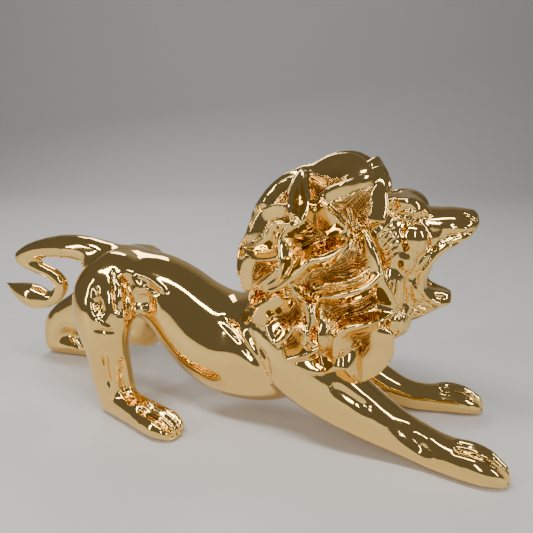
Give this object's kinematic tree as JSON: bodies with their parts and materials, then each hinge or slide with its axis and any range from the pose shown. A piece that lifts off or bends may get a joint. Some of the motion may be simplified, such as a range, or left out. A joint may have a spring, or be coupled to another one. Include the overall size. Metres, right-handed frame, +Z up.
{
  "type": "lion statue",
  "caption": "Mirror-polished gold lion, roaring, stretched low on its forelegs with a wavy mane and a looped tail.",
  "frame": {"origin": "middle of the statue's box, on the surface it stands on", "axes": "+X from the tail to the nose, +Y to the lion's left, +Z up"},
  "size_m": [0.3688, 0.118, 0.1812],
  "materials": {
    "gold": "mirror-polished gold plating, warmer and darker in the hollows of the mane"
  },
  "bodies": {
    "root": {"lion": "gold"}
  },
  "joints": []
}
